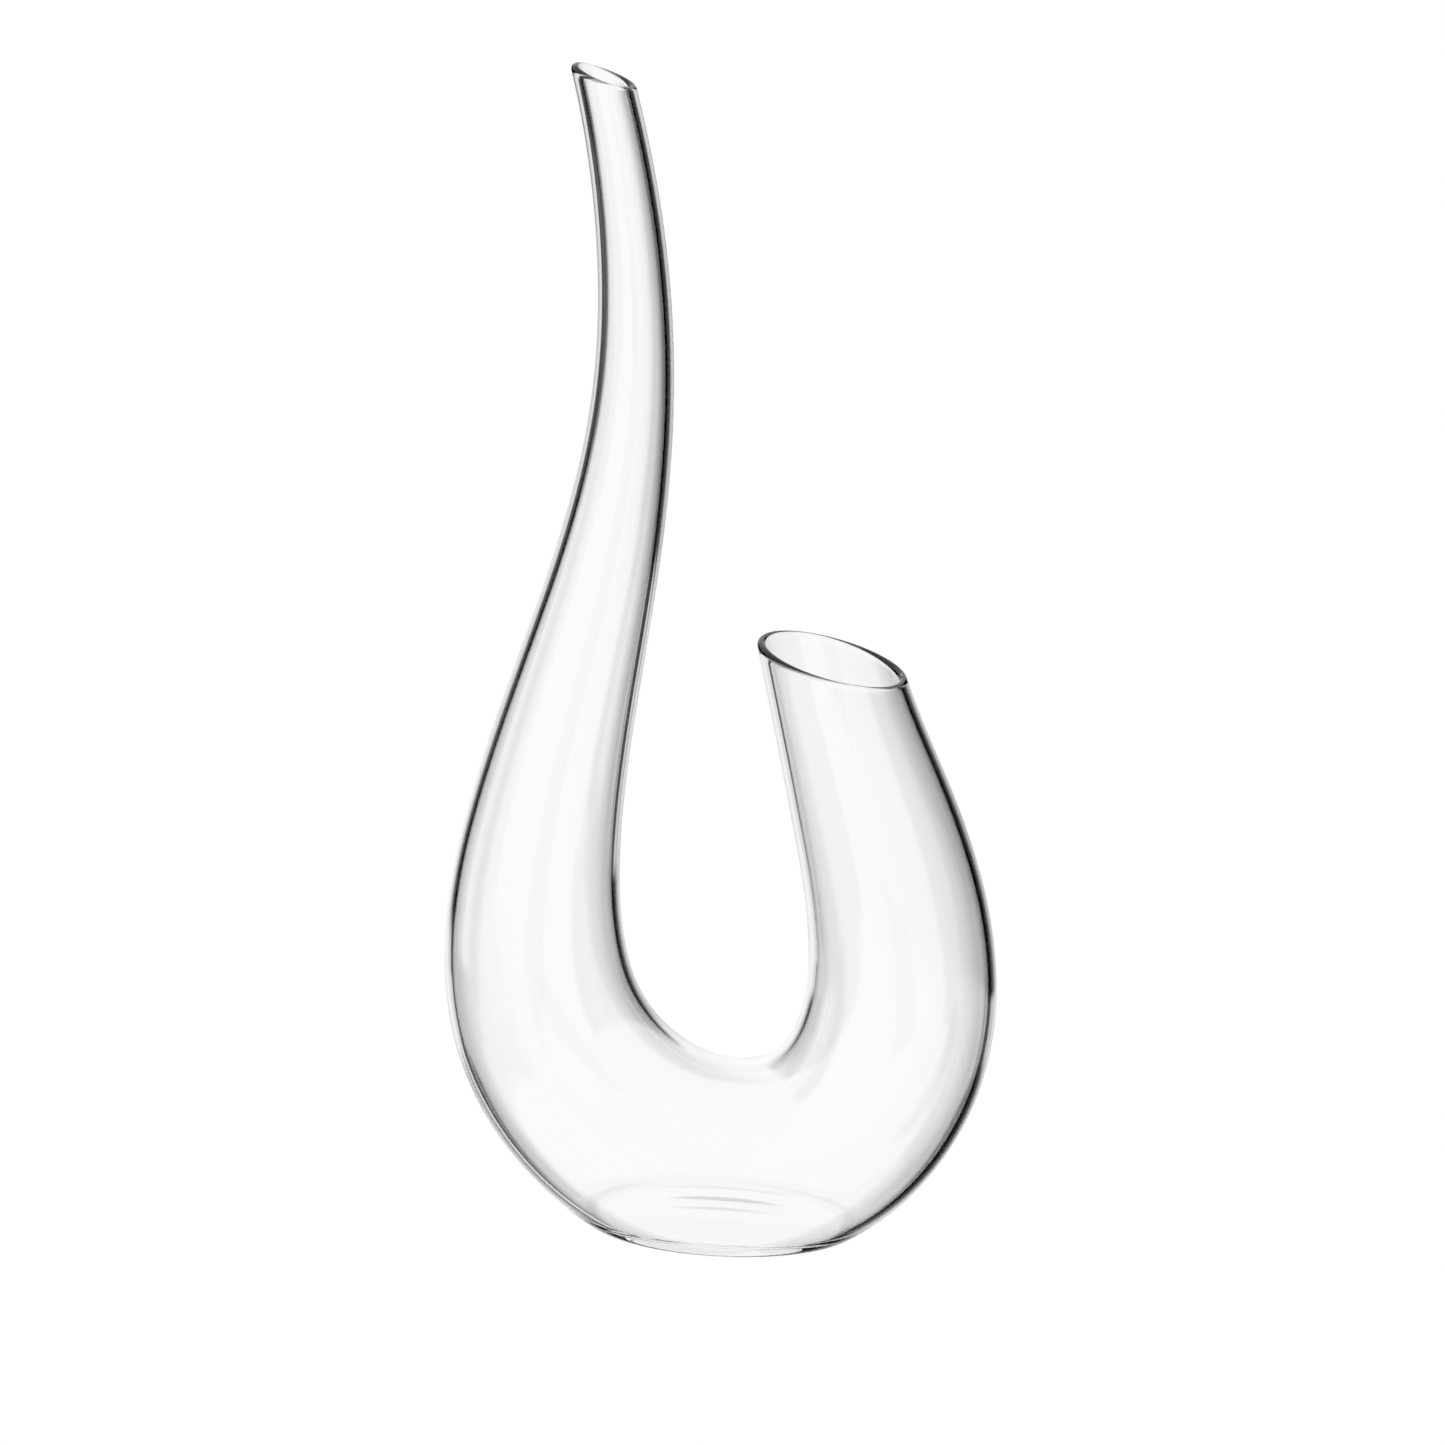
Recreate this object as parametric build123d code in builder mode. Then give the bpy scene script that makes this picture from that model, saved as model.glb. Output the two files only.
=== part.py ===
"""U-shaped wine decanter of clear hand-formed glass.

One bent tube of glass makes the whole vessel. Its left limb is a long S-curved pouring
neck, its right limb is short and wide and ends in the filling mouth, and the bowl joins
them at the bottom. The limbs lie in the XZ plane, and the decanter is symmetric front to
back about that plane. +Z is up, and the origin is on the table, under the middle of the
overall width. All sizes are in millimetres.
"""
from build123d import *
import os

# Centreline of the tube, from beyond the pouring lip, down the neck, round the bowl and
# up to beyond the filling mouth: x, z and the outside radius of the glass there.
CENTRELINE = [
    (-40.4, 405.0, 9.4),
    (-35.4, 384.0, 9.8),
    (-29.4, 345.0, 11.1),
    (-28.4, 295.0, 13.2),
    (-35.4, 245.0, 16.6),
    (-47.7, 195.0, 21.0),
    (-59.5, 145.0, 25.9),
    (-64.0, 98.0, 30.6),
    (-58.5, 68.2, 33.0),
    (-37.6, 38.8, 35.0),
    (-1.4, 23.5, 36.2),
    (39.6, 38.0, 33.8),
    (60.6, 75.5, 32.5),
    (61.6, 112.0, 30.6),
    (51.6, 155.0, 26.9),
    (40.6, 192.0, 23.2),
    (35.1, 215.0, 22.4),
    (32.1, 228.0, 22.2),
]

WALL = 2.8               # thickness of the blown wall
FLOOR = 5.0              # top of the bowl's flat inside floor, above the table
HEEL_RADIUS = 5.0        # rounding where the wall turns under into the foot
FLOOR_RADIUS = 5.0       # rounding where the wall meets the inside floor
PUNT_DEPTH = 1.2         # the underside is hollowed, so that it stands on a ring
PUNT_BORDER = 5.0        # width of the ring that it stands on
PUNT_TOP = 0.6           # size of the flat top of the hollow, as a share of its rim

POURING_LIP = (-37.9, 396.0)    # x, z of the centre of the pouring lip
POURING_TILT = 20.5             # slant of the lip in degrees, low on the filling side
FILLING_MOUTH = (37.1, 205.5)   # x, z of the centre of the filling mouth
FILLING_TILT = 14.5             # slant of the mouth in degrees, low on the outer side
RIM_DEPTH = 4.0                 # depth of each fire-polished rim
RIM_ROUNDING = 1.2              # rounding of each edge of a rim

# The glass is one piece. These heights and x divide it into plain stretches of tube.
NECK_HEIGHT = 290.0      # the slender neck starts here
STEM_HEIGHT = 214.0      # the widening foot of the neck starts here
SHOULDER = 118.0         # both limbs start here
SADDLE = 62.0            # the sides of the bowl start here, just above the bottom of the gap
BAY = 5.0                # x of the middle of the gap between the limbs


def slanted(centre, tilt):
    """The plane of a rim: through its centre, tipped down towards +X."""
    x, z = centre
    return Plane(origin=(x, 0, z)).rotated((0, tilt, 0))


def round_sections(inset):
    """Circles square to the centreline at every station, inset from the outside."""
    path = Spline([(x, 0, z) for x, z, radius in CENTRELINE])
    sections = []
    for x, z, radius in CENTRELINE:
        at = path.param_at_point((x, 0, z))
        with BuildSketch(Plane(origin=(x, 0, z), x_dir=(0, 1, 0), z_dir=path % at)) as section:
            Circle(radius - inset)
        sections.append(section.sketch)
    return sections


pouring_plane = slanted(POURING_LIP, POURING_TILT)
filling_plane = slanted(FILLING_MOUTH, FILLING_TILT)

# Outside of the glass as a full solid, standing flat on the table
with BuildPart() as outside:
    loft(sections=round_sections(0))
    split(bisect_by=Plane.XY, keep=Keep.TOP)
    sole = outside.faces().filter_by(Plane.XY).sort_by(Axis.Z)[0]
    fillet(sole.edges(), radius=HEEL_RADIUS)

# Room inside the glass, open through both mouths, with a flat floor
with BuildPart() as hollow:
    loft(sections=round_sections(WALL))
    split(bisect_by=Plane.XY.offset(FLOOR), keep=Keep.TOP)
    floor = hollow.faces().filter_by(Plane.XY).sort_by(Axis.Z)[0]
    fillet(floor.edges(), radius=FLOOR_RADIUS)

# The vessel with its walls, before it is divided
with BuildPart() as glass:
    add(outside.part)
    add(hollow.part, mode=Mode.SUBTRACT)

# Slanted rim of the pouring lip, its edges rounded in the flame
with BuildPart() as pouring_rim:
    add(glass.part)
    split(bisect_by=Plane.XY.offset(NECK_HEIGHT), keep=Keep.TOP)
    split(bisect_by=pouring_plane, keep=Keep.BOTTOM)
    lip = pouring_rim.faces().filter_by(pouring_plane)[0]
    fillet(lip.edges(), radius=RIM_ROUNDING)
    split(bisect_by=pouring_plane.offset(-RIM_DEPTH), keep=Keep.TOP)

# Slender upper part of the neck that the wine is poured along
with BuildPart() as pouring_neck:
    add(glass.part)
    split(bisect_by=Plane.XY.offset(NECK_HEIGHT), keep=Keep.TOP)
    split(bisect_by=pouring_plane.offset(-RIM_DEPTH), keep=Keep.BOTTOM)

# Foot of the neck, where it widens downwards
with BuildPart() as neck_foot:
    add(glass.part)
    split(bisect_by=Plane.YZ.offset(BAY), keep=Keep.BOTTOM)
    split(bisect_by=Plane.XY.offset(STEM_HEIGHT), keep=Keep.TOP)
    split(bisect_by=Plane.XY.offset(NECK_HEIGHT), keep=Keep.BOTTOM)

# Swelling of the left limb, between the neck and the bowl
with BuildPart() as neck_swell:
    add(glass.part)
    split(bisect_by=Plane.YZ.offset(BAY), keep=Keep.BOTTOM)
    split(bisect_by=Plane.XY.offset(SHOULDER), keep=Keep.TOP)
    split(bisect_by=Plane.XY.offset(STEM_HEIGHT), keep=Keep.BOTTOM)

# Slanted rim of the filling mouth, its edges rounded in the flame
with BuildPart() as filling_rim:
    add(glass.part)
    split(bisect_by=Plane.YZ.offset(BAY), keep=Keep.TOP)
    split(bisect_by=filling_plane, keep=Keep.BOTTOM)
    lip = filling_rim.faces().filter_by(filling_plane)[0]
    fillet(lip.edges(), radius=RIM_ROUNDING)
    split(bisect_by=filling_plane.offset(-RIM_DEPTH), keep=Keep.TOP)

# Short wide limb that the wine is poured into
with BuildPart() as filling_limb:
    add(glass.part)
    split(bisect_by=Plane.YZ.offset(BAY), keep=Keep.TOP)
    split(bisect_by=Plane.XY.offset(SHOULDER), keep=Keep.TOP)
    split(bisect_by=filling_plane.offset(-RIM_DEPTH), keep=Keep.BOTTOM)

# Side of the bowl under the neck
with BuildPart() as bowl_neck_side:
    add(glass.part)
    split(bisect_by=Plane.YZ.offset(BAY), keep=Keep.BOTTOM)
    split(bisect_by=Plane.XY.offset(SADDLE), keep=Keep.TOP)
    split(bisect_by=Plane.XY.offset(SHOULDER), keep=Keep.BOTTOM)

# Side of the bowl under the filling limb
with BuildPart() as bowl_filling_side:
    add(glass.part)
    split(bisect_by=Plane.YZ.offset(BAY), keep=Keep.TOP)
    split(bisect_by=Plane.XY.offset(SADDLE), keep=Keep.TOP)
    split(bisect_by=Plane.XY.offset(SHOULDER), keep=Keep.BOTTOM)

# Bottom of the bowl towards the neck, with its half of the saddle between the limbs
with BuildPart() as bottom_neck_side:
    add(glass.part)
    split(bisect_by=Plane.XY.offset(FLOOR), keep=Keep.TOP)
    split(bisect_by=Plane.XY.offset(SADDLE), keep=Keep.BOTTOM)
    split(bisect_by=Plane.YZ.offset(BAY), keep=Keep.BOTTOM)

# Bottom of the bowl towards the filling limb, with the other half of the saddle
with BuildPart() as bottom_filling_side:
    add(glass.part)
    split(bisect_by=Plane.XY.offset(FLOOR), keep=Keep.TOP)
    split(bisect_by=Plane.XY.offset(SADDLE), keep=Keep.BOTTOM)
    split(bisect_by=Plane.YZ.offset(BAY), keep=Keep.TOP)

# Base: the thick flat foot under the bowl, hollowed beneath so that it stands on a ring
with BuildPart() as base:
    add(outside.part)
    split(bisect_by=Plane.XY.offset(FLOOR), keep=Keep.BOTTOM)
    foot = base.faces().filter_by(Plane.XY).sort_by(Axis.Z)[0].bounding_box()
    punt_length = foot.size.X / 2 - PUNT_BORDER
    punt_width = foot.size.Y / 2 - PUNT_BORDER
    for height, share in ((0, 1.0), (PUNT_DEPTH, PUNT_TOP)):
        with BuildSketch(Plane((foot.center().X, 0, height))):
            Ellipse(punt_length * share, punt_width * share)
    loft(mode=Mode.SUBTRACT)

os.makedirs("parts", exist_ok=True)
pieces = {
    "pouring_rim": pouring_rim,
    "pouring_neck": pouring_neck,
    "neck_foot": neck_foot,
    "neck_swell": neck_swell,
    "filling_rim": filling_rim,
    "filling_limb": filling_limb,
    "bowl_neck_side": bowl_neck_side,
    "bowl_filling_side": bowl_filling_side,
    "bottom_neck_side": bottom_neck_side,
    "bottom_filling_side": bottom_filling_side,
    "base": base,
}
for label, piece in pieces.items():
    piece.part.label = label
    export_step(piece.part, f"parts/{label}.step")
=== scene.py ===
"""Wine decanter of clear glass: the finished look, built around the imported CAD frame.

The whole vessel is one continuous piece of glass, so one closed mesh stands for all the
CAD nodes. It is a bent tube with round sections, a flat foot and two slanted rims.
"""
import math
import bpy
import numpy as np
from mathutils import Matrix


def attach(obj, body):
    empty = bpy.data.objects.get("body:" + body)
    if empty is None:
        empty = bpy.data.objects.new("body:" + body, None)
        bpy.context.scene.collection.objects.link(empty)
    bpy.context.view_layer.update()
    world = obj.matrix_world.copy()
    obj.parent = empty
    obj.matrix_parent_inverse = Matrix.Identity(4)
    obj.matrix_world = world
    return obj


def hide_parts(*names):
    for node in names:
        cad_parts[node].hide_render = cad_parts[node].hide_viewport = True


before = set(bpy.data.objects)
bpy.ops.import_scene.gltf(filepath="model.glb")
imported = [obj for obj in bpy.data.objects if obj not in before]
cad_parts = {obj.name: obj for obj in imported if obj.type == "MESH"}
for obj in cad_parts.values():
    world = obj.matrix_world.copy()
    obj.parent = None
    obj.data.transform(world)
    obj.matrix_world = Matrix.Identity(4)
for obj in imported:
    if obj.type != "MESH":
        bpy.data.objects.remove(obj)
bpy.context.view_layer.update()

MM = 0.001

# ---------------------------------------------------------------- shape of the glass, in mm
# Centreline from beyond the pouring lip, round the bowl, to beyond the filling mouth:
# x, z and the outside radius.
CENTRELINE = np.array([
    (-40.4, 405.0, 9.4),
    (-35.4, 384.0, 9.8),
    (-29.4, 345.0, 11.1),
    (-28.4, 295.0, 13.2),
    (-35.4, 245.0, 16.6),
    (-47.7, 195.0, 21.0),
    (-59.5, 145.0, 25.9),
    (-64.0, 98.0, 30.6),
    (-58.5, 68.2, 33.0),
    (-37.6, 38.8, 35.0),
    (-1.4, 23.5, 36.2),
    (39.6, 38.0, 33.8),
    (60.6, 75.5, 32.5),
    (61.6, 112.0, 30.6),
    (51.6, 155.0, 26.9),
    (40.6, 192.0, 23.2),
    (35.1, 215.0, 22.4),
    (32.1, 228.0, 22.2),
])
WALL = 2.8                       # thickness of the blown wall
FLOOR = 5.0                      # height of the bowl's inside floor
HEEL_BLEND = 2.2                 # half height over which the wall turns under into the foot
FLOOR_BLEND = 1.8                # the same where the wall meets the inside floor
PUNT_DEPTH = 0.8                 # the underside is hollowed by this much
PUNT_BORDER = 5.0                # width of the ring that it stands on
SOLE = (43.4, 25.2)              # half length and half width of the flat sole
SOLE_MIDDLE = 1.2                # x of the middle of the sole
POURING_LIP = (-37.9, 396.0)     # x, z of the centre of the lip
POURING_TILT = math.radians(20.5)
FILLING_MOUTH = (37.1, 205.5)    # x, z of the centre of the filling mouth
FILLING_TILT = math.radians(14.5)

AROUND = 256                     # points round the tube
RING_STEP = 1.4                  # spacing of the rings along the centreline
RIM_STEPS = 9                    # steps round the half circle of a rim
RIM_REACH = 70.0                 # length over which the rings turn to lie along a rim
LIP_SPAN = 60.0                  # the lip meets the tube within this far of its first station
MOUTH_SPAN = 80.0                # and the mouth within this far of its last
TRIM_HALVINGS = 40               # how often the search for a rim halves its span


def cubic_spline(knots, values):
    """A smooth curve through the values: returns a function of place and derivative order."""
    n = len(knots)
    gap = np.diff(knots)
    slope = np.diff(values, axis=0) / gap[:, None]
    matrix = np.zeros((n, n))
    right = np.zeros_like(values)
    for i in range(1, n - 1):
        matrix[i, i - 1:i + 2] = gap[i - 1], 2 * (gap[i - 1] + gap[i]), gap[i]
        right[i] = 6 * (slope[i] - slope[i - 1])
    matrix[0, :3] = gap[1], -gap[0] - gap[1], gap[0]
    matrix[-1, -3:] = gap[-1], -gap[-2] - gap[-1], gap[-2]
    bend = np.linalg.solve(matrix, right)

    def at(place, order=0):
        i = np.clip(np.searchsorted(knots, place) - 1, 0, n - 2)
        t = (place - knots[i])[..., None]
        h = gap[i][..., None]
        a = (bend[i + 1] - bend[i]) / (6 * h)
        b = bend[i] / 2
        c = slope[i] - h * (2 * bend[i] + bend[i + 1]) / 6
        if order == 0:
            return values[i] + t * (c + t * (b + t * a))
        return c + t * (2 * b + 3 * t * a)
    return at


steps = np.hypot(*np.diff(CENTRELINE[:, :2], axis=0).T)
stations = np.concatenate([[0], np.cumsum(steps)])
centreline = cubic_spline(stations, CENTRELINE)


def soft_max(value, least, blend):
    """The larger of the two, rounded off within blend of where they meet."""
    over = np.clip((value - least + blend) / (2 * blend), 0, None)
    return np.where(over < 1, least + blend * over ** 2, value)


def tube(place, angle, inset):
    """Points on the tube's surface, inset from the outside, before its foot is flattened."""
    spot = centreline(place)
    along = centreline(place, 1)
    speed = np.hypot(along[..., 0], along[..., 1])
    reach = (spot[..., 2] - inset) * np.cos(angle)
    x = spot[..., 0] - reach * along[..., 1] / speed
    z = spot[..., 1] + reach * along[..., 0] / speed
    y = (spot[..., 2] - inset) * np.sin(angle)
    return np.stack([x, y, z], -1)


def trim(centre, tilt, near, far, angle, depth):
    """Where along the centreline the tube meets the plane of a rim, moved down by depth."""
    normal = np.array([math.sin(tilt), 0, math.cos(tilt)])
    origin = np.array([centre[0], 0, centre[1]]) - depth * normal
    low = np.full_like(angle, near)
    high = np.full_like(angle, far)
    for _ in range(TRIM_HALVINGS):
        middle = (low + high) / 2
        above = (tube(middle, angle, WALL / 2) - origin) @ normal > 0
        low = np.where(above, middle, low)
        high = np.where(above, high, middle)
    return (low + high) / 2


def flatten(points, least_of, blend):
    """The points, raised to the height that least_of gives for each, rounded off by blend."""
    points = points.copy()
    points[..., 2] = soft_max(points[..., 2], least_of(points), blend)
    return points


def sole_height(points):
    """The underside: flat on its ring, gently hollowed inside it."""
    away = ((points[..., 0] - SOLE_MIDDLE) / (SOLE[0] - PUNT_BORDER)) ** 2
    away = away + (points[..., 1] / (SOLE[1] - PUNT_BORDER)) ** 2
    return PUNT_DEPTH * np.clip(1 - away, 0, 1) ** 2


def decanter_rings():
    """All the rings of the glass: down the outside, over one rim, back inside, over the other."""
    angle = np.linspace(0, 2 * math.pi, AROUND, endpoint=False)
    end = stations[-1]
    start_trim = trim(POURING_LIP, POURING_TILT, 0, LIP_SPAN, angle, WALL / 2)
    end_trim = trim(FILLING_MOUTH, FILLING_TILT, end, end - MOUTH_SPAN, angle, WALL / 2)
    first, last = start_trim.mean(), end_trim.mean()
    count = int((last - first) / RING_STEP)
    level = np.linspace(first, last, count + 1)[:, None]

    def fade(distance):
        """1 at a rim, falling smoothly to 0 at RIM_REACH from it."""
        t = np.clip(1 - distance / RIM_REACH, 0, 1)
        return t * t * (3 - 2 * t)

    place = level + fade(level - first) * (start_trim - first) + fade(last - level) * (end_trim - last)
    angles = np.broadcast_to(angle, place.shape)
    outer = flatten(tube(place, angles, 0), sole_height, HEEL_BLEND)
    inner = flatten(tube(place, angles, WALL), lambda p: FLOOR, FLOOR_BLEND)

    def rim(from_ring, to_ring, before):
        """Half circles from one skin over to the other."""
        middle = (from_ring + to_ring) / 2
        across = (from_ring - to_ring) / 2
        size = np.linalg.norm(across, axis=-1, keepdims=True)
        out = middle - before
        out = out - across * (out * across).sum(-1, keepdims=True) / size ** 2
        out = out / np.linalg.norm(out, axis=-1, keepdims=True) * size
        turns = np.linspace(0, math.pi, RIM_STEPS + 1)[1:-1]
        return [middle + across * math.cos(t) + out * math.sin(t) for t in turns]

    mouth = rim(outer[-1], inner[-1], (outer[-2] + inner[-2]) / 2)
    lip = rim(inner[0], outer[0], (outer[1] + inner[1]) / 2)
    return np.array([*outer, *mouth, *inner[::-1], *lip])


def closed_mesh(name, rings):
    """A mesh of quads over rings that close on themselves both ways."""
    many, around = rings.shape[:2]
    index = np.arange(many * around).reshape(many, around)
    ahead = np.roll(index, -1, axis=0)
    corners = [index, ahead, np.roll(ahead, -1, axis=1), np.roll(index, -1, axis=1)]
    faces = np.stack(corners, -1).reshape(-1, 4)
    mesh = bpy.data.meshes.new(name)
    mesh.from_pydata((rings.reshape(-1, 3) * MM).tolist(), [], faces.tolist())
    mesh.polygons.foreach_set("use_smooth", [True] * len(mesh.polygons))
    mesh.update()
    piece = bpy.data.objects.new(name, mesh)
    bpy.context.scene.collection.objects.link(piece)
    return piece


decanter = closed_mesh("decanter_glass", decanter_rings())


# ---------------------------------------------------------------- glass
WAVE_SCALE = 16.0                # slow waves of hand-formed glass, per metre
WAVE_HEIGHT = 0.00012            # their height in metres
FINE_SCALE = 900.0               # fine variation of the polish, per metre
POLISH = (0.0, 0.012)            # roughness, from the best polished spots to the worst
POLISH_SPAN = (0.45, 0.8)        # the noise values at which it has those two
WAVE_DETAIL = 1.0                # octaves of noise in the waves
FINE_DETAIL = 3.0                # and in the polish
GLASS_IOR = 1.5
TINT = (0.93, 0.92, 0.91, 1)     # the glass absorbs what this colour is short of white
TINT_DENSITY = 1.6               # and this strongly, per metre


def noise(nodes, links, scale, detail):
    """Noise over the glass, in the object's own coordinates."""
    place = nodes.new("ShaderNodeTexCoord")
    pattern = nodes.new("ShaderNodeTexNoise")
    pattern.inputs["Scale"].default_value = scale
    pattern.inputs["Detail"].default_value = detail
    links.new(place.outputs["Object"], pattern.inputs["Vector"])
    return pattern.outputs["Fac"]


def glass_material():
    """Clear glass with slow waves in its surface and a faintly uneven polish."""
    material = bpy.data.materials.new("clear_glass")
    material.use_nodes = True
    nodes, links = material.node_tree.nodes, material.node_tree.links
    shader = nodes["Principled BSDF"]
    shader.inputs["Base Color"].default_value = (1, 1, 1, 1)
    shader.inputs["IOR"].default_value = GLASS_IOR
    shader.inputs["Transmission Weight"].default_value = 1.0

    waves = nodes.new("ShaderNodeBump")
    waves.inputs["Strength"].default_value = 1.0
    waves.inputs["Distance"].default_value = WAVE_HEIGHT
    links.new(noise(nodes, links, WAVE_SCALE, WAVE_DETAIL), waves.inputs["Height"])
    links.new(waves.outputs["Normal"], shader.inputs["Normal"])

    polish = nodes.new("ShaderNodeMapRange")
    polish.inputs["From Min"].default_value = POLISH_SPAN[0]
    polish.inputs["From Max"].default_value = POLISH_SPAN[1]
    polish.inputs["To Min"].default_value = POLISH[0]
    polish.inputs["To Max"].default_value = POLISH[1]
    links.new(noise(nodes, links, FINE_SCALE, FINE_DETAIL), polish.inputs["Value"])
    links.new(polish.outputs["Result"], shader.inputs["Roughness"])

    absorb = nodes.new("ShaderNodeVolumeAbsorption")
    absorb.inputs["Color"].default_value = TINT
    absorb.inputs["Density"].default_value = TINT_DENSITY
    links.new(absorb.outputs[0], nodes["Material Output"].inputs["Volume"])
    return material


decanter.data.materials.append(glass_material())
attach(decanter, "root")
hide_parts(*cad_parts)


# ---------------------------------------------------------------- camera
VIEW_TURN = math.radians(12)     # the camera stands this far round towards the filling side
VIEW_DOWN = math.radians(17.3)   # and looks down by this much
VIEW_DISTANCE = 1.647            # in metres, from the point that it aims at
AIM = (0.0012, 0.0, 0.1807)
PICTURE_SIDE = 1445              # the picture is square, this many pixels a side
FOCAL_PIXELS = 4960.6            # focal length in those pixels
SENSOR_WIDTH = 36                # in millimetres

back = np.array([
    math.sin(VIEW_TURN) * math.cos(VIEW_DOWN),
    -math.cos(VIEW_TURN) * math.cos(VIEW_DOWN),
    math.sin(VIEW_DOWN),
])
lens = bpy.data.cameras.new("camera")
lens.sensor_width = SENSOR_WIDTH
lens.lens = SENSOR_WIDTH * FOCAL_PIXELS / PICTURE_SIDE
camera = bpy.data.objects.new("camera", lens)
camera.location = np.array(AIM) + VIEW_DISTANCE * back
camera.rotation_euler = (math.pi / 2 - VIEW_DOWN, 0, VIEW_TURN)
bpy.context.scene.collection.objects.link(camera)
bpy.context.scene.camera = camera


# ---------------------------------------------------------------- studio
FLOOR_SIDE = 6.0                 # half side of the plain lit table, in metres
FLOOR_GAP = 0.0003               # it lies this far under the glass


def plain_floor():
    """A white table for the camera alone: the glass sees the studio's levels in its place."""
    mesh = bpy.data.meshes.new("floor")
    corners = [(x * FLOOR_SIDE, y * FLOOR_SIDE, 0) for x, y in ((-1, -1), (1, -1), (1, 1), (-1, 1))]
    mesh.from_pydata(corners, [], [(0, 1, 2, 3)])
    floor = bpy.data.objects.new("floor", mesh)
    floor.location.z = -FLOOR_GAP
    material = bpy.data.materials.new("lit_table")
    material.use_nodes = True
    nodes, links = material.node_tree.nodes, material.node_tree.links
    nodes.clear()
    glow = nodes.new("ShaderNodeEmission")
    glow.inputs["Strength"].default_value = 1.0
    output = nodes.new("ShaderNodeOutputMaterial")
    links.new(glow.outputs[0], output.inputs["Surface"])
    mesh.materials.append(material)
    bpy.context.scene.collection.objects.link(floor)
    floor.visible_transmission = False
    floor.visible_glossy = False


# What the glass sees round it, as grey levels by direction: degrees of turn, counted
# anticlockwise from +Y, and the level there. Straight behind it, as the camera looks, is a
# lit sweep. Dark zones at both sides give the glass its edge lines. The one on the side of
# the neck has bright gaps, at 40 to 50 degrees near the table and at 79 to 101 above it,
# so that a camera turned that far round doesn't look straight at it. The rest is a white
# tent, with a short grey stretch in front.
NEAR_TABLE = [
    (-180, 1.0), (-115, 1.0), (-105, 0.05), (-22, 0.0), (-14, 0.02), (-6, 0.1), (-3, 0.66),
    (0, 0.74), (3, 0.82), (9, 0.93), (22, 0.92), (26, 0.8), (29, 0.8), (33, 0.3), (35, 0.0),
    (40, 0.0), (42, 0.92), (48, 0.92), (50, 0.0), (100, 0.0), (106, 1.0), (180, 1.0),
]
FAR_TABLE = [
    (-180, 1.0), (-115, 1.0), (-105, 0.05), (-24, 0.0), (-22, 0.5), (-19, 0.7), (-14, 0.72),
    (-12, 0.3), (-9.5, 0.3), (-7.5, 0.74), (-3, 0.78), (0, 0.82), (3, 0.89), (9, 0.96),
    (22, 0.96), (25, 0.9), (28, 0.9), (44, 0.88), (50, 0.8), (54, 0.0), (106, 0.0), (112, 1.0),
    (180, 1.0),
]
LOW_SWEEP = [
    (-180, 1.0), (-174, 0.6), (-156, 0.6), (-152, 1.0), (-117, 1.0), (-113, 0.0), (-15, 0.0),
    (-12, 0.15), (-8, 0.42), (-4.5, 0.54), (-1.5, 0.62), (1.5, 0.72), (4.5, 0.81), (8, 0.92),
    (12, 0.96), (25, 0.97), (28, 0.93), (32, 0.88), (38, 0.82), (41, 0.85), (48, 0.8), (51, 0.0),
    (113, 0.0), (117, 1.0), (180, 1.0),
]
SWEEP = [
    (-180, 1.0), (-174, 0.6), (-156, 0.6), (-152, 1.0), (-117, 1.0), (-113, 0.0), (-15, 0.0),
    (-12, 0.12), (-8, 0.36), (-4.5, 0.47), (-1.5, 0.56), (1.5, 0.65), (4.5, 0.74), (8, 0.86),
    (12, 0.96), (26, 0.97), (31, 0.92), (36, 0.82), (40, 0.45), (43, 0.0), (79, 0.0), (82, 1.0),
    (98, 1.0), (101, 0.0), (113, 0.0), (117, 1.0), (180, 1.0),
]
HORIZON = [
    (-180, 1.0), (-117, 1.0), (-113, 0.0), (-13, 0.0), (-10, 0.3), (-7, 0.9), (26, 1.0),
    (38, 0.7), (43, 0.0), (79, 0.0), (82, 1.0), (98, 1.0), (101, 0.0), (113, 0.0), (117, 1.0),
    (180, 1.0),
]
CEILING = [(-180, 0.9), (180, 0.9)]

# The rows above the lowest one, each with the elevations, in degrees, between which it
# takes over from the row under it.
UPPER_ROWS = [
    (FAR_TABLE, -28, -25),
    (LOW_SWEEP, -20.6, -19.4),
    (SWEEP, -18, -15),
    (HORIZON, -7, -4),
    (CEILING, 12, 20),
]


def levels_around(nodes, links, turn, stops):
    """Grey levels that change with the turn, a share of a full circle from -180 degrees."""
    node = nodes.new("ShaderNodeValToRGB")
    band = node.color_ramp
    band.elements.remove(band.elements[1])
    for i, (degrees, level) in enumerate(stops):
        place = (degrees + 180) / 360
        element = band.elements[0] if i == 0 else band.elements.new(place)
        element.position = place
        element.color = (level, level, level, 1)
    links.new(turn, node.inputs["Fac"])
    return node.outputs["Color"]


def blend_up(nodes, links, height, lower, upper, start, stop):
    """Passes from the lower levels to the upper ones between two elevations in degrees."""
    share = nodes.new("ShaderNodeMapRange")
    share.interpolation_type = "SMOOTHSTEP"
    share.inputs["From Min"].default_value = math.sin(math.radians(start))
    share.inputs["From Max"].default_value = math.sin(math.radians(stop))
    links.new(height, share.inputs["Value"])
    mix = nodes.new("ShaderNodeMix")
    mix.data_type = "RGBA"
    links.new(share.outputs[0], mix.inputs["Factor"])
    links.new(lower, mix.inputs["A"])
    links.new(upper, mix.inputs["B"])
    return mix.outputs["Result"]


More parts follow.
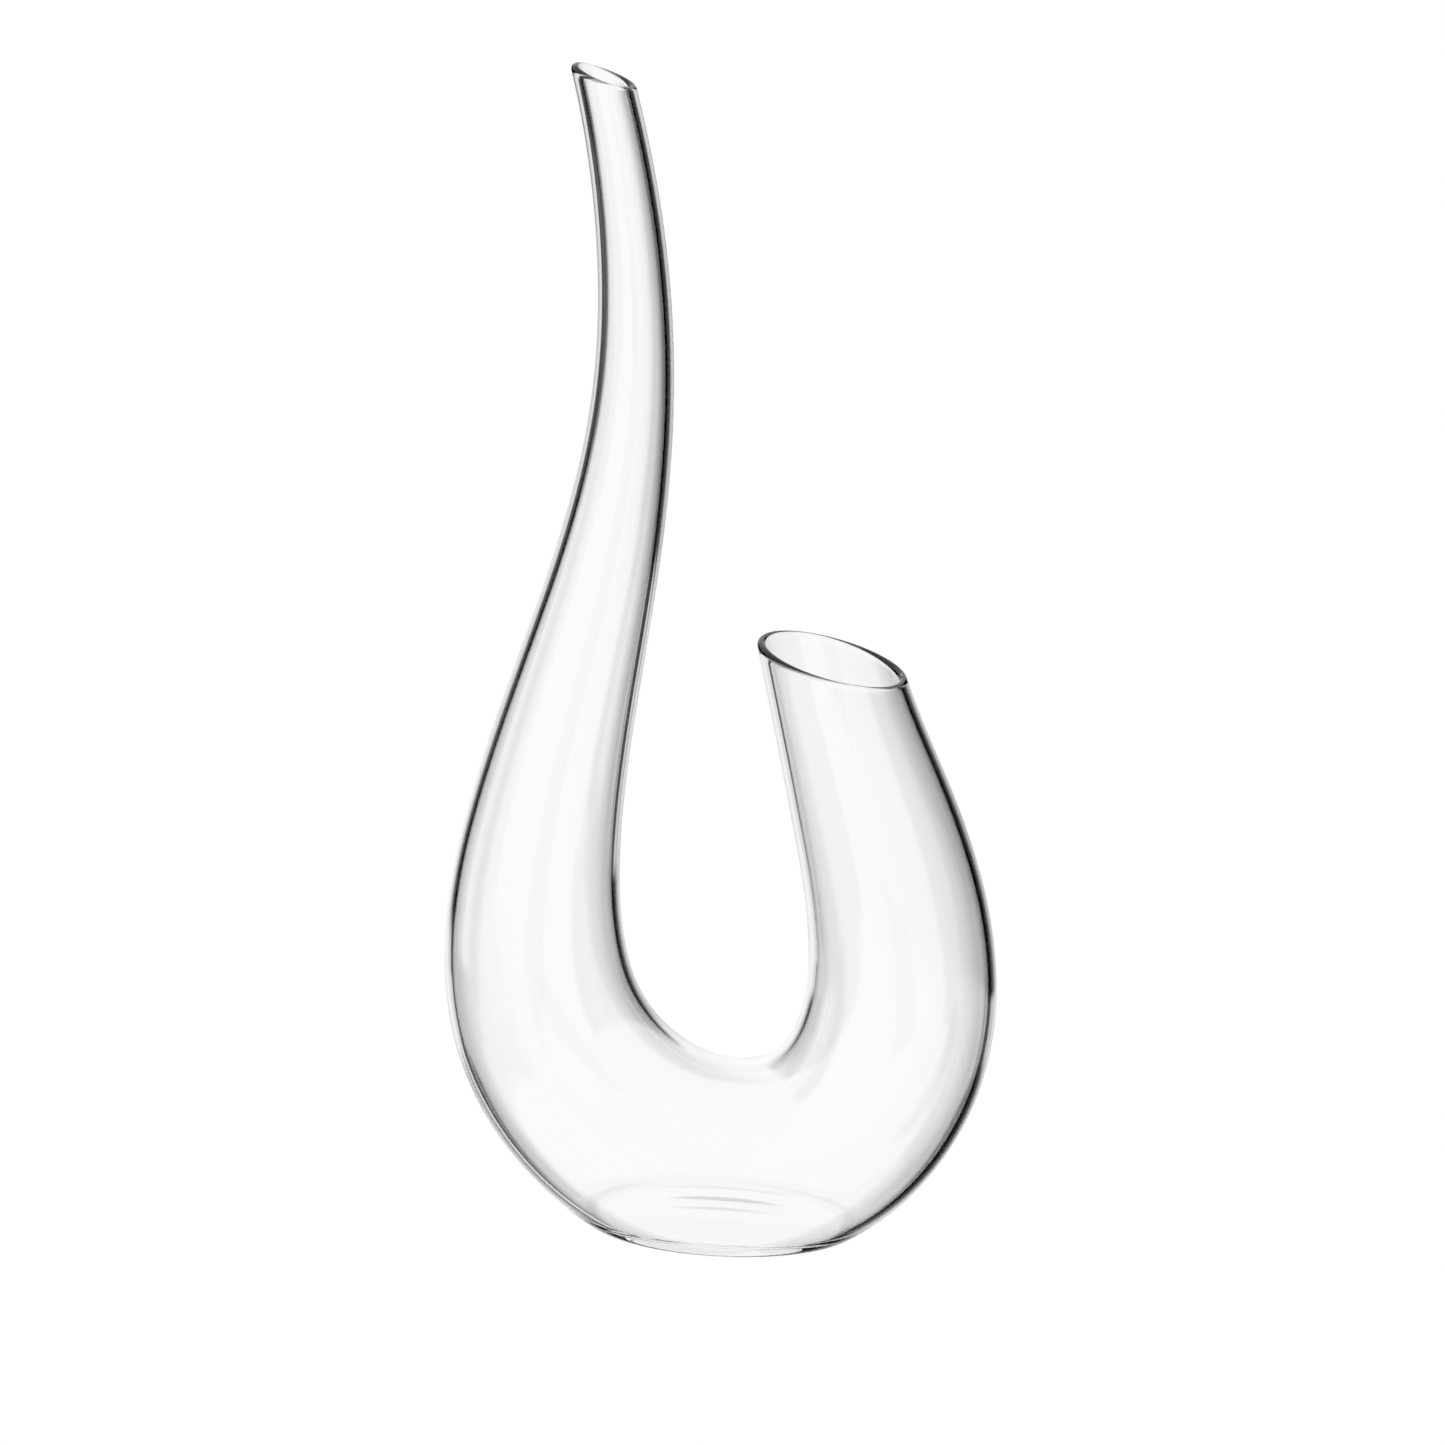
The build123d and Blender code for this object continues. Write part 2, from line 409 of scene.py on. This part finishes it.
def turn_and_height(nodes, links):
    """The turn of a ray's direction, as a share of a full circle, and the sine of its elevation."""
    place = nodes.new("ShaderNodeTexCoord")
    split = nodes.new("ShaderNodeSeparateXYZ")
    links.new(place.outputs["Generated"], split.inputs[0])
    flip = nodes.new("ShaderNodeMath")
    flip.operation = "MULTIPLY"
    flip.inputs[1].default_value = -1
    links.new(split.outputs["X"], flip.inputs[0])
    angle = nodes.new("ShaderNodeMath")
    angle.operation = "ARCTAN2"
    links.new(flip.outputs[0], angle.inputs[0])
    links.new(split.outputs["Y"], angle.inputs[1])
    share = nodes.new("ShaderNodeMapRange")
    share.inputs["From Min"].default_value = -math.pi
    share.inputs["From Max"].default_value = math.pi
    links.new(angle.outputs[0], share.inputs["Value"])
    return share.outputs[0], split.outputs["Z"]


def studio_world():
    """The rows of levels as one world; the camera itself sees plain white."""
    world = bpy.data.worlds.new("studio")
    bpy.context.scene.world = world
    world.use_nodes = True
    nodes, links = world.node_tree.nodes, world.node_tree.links
    nodes.clear()
    turn, height = turn_and_height(nodes, links)
    level = levels_around(nodes, links, turn, NEAR_TABLE)
    for row, start, stop in UPPER_ROWS:
        upper = levels_around(nodes, links, turn, row)
        level = blend_up(nodes, links, height, level, upper, start, stop)
    light = nodes.new("ShaderNodeBackground")
    links.new(level, light.inputs["Color"])
    plain = nodes.new("ShaderNodeBackground")
    plain.inputs["Color"].default_value = (1, 1, 1, 1)
    path = nodes.new("ShaderNodeLightPath")
    mix = nodes.new("ShaderNodeMixShader")
    links.new(path.outputs["Is Camera Ray"], mix.inputs["Fac"])
    links.new(light.outputs[0], mix.inputs[1])
    links.new(plain.outputs[0], mix.inputs[2])
    output = nodes.new("ShaderNodeOutputWorld")
    links.new(mix.outputs[0], output.inputs["Surface"])


plain_floor()
studio_world()

BOUNCES = 24                     # a ray crosses many surfaces of the glass before it leaves
GLOSSY_BOUNCES = 12

scene = bpy.context.scene
scene.view_settings.view_transform = "Standard"
scene.cycles.max_bounces = BOUNCES
scene.cycles.transmission_bounces = BOUNCES
scene.cycles.glossy_bounces = GLOSSY_BOUNCES
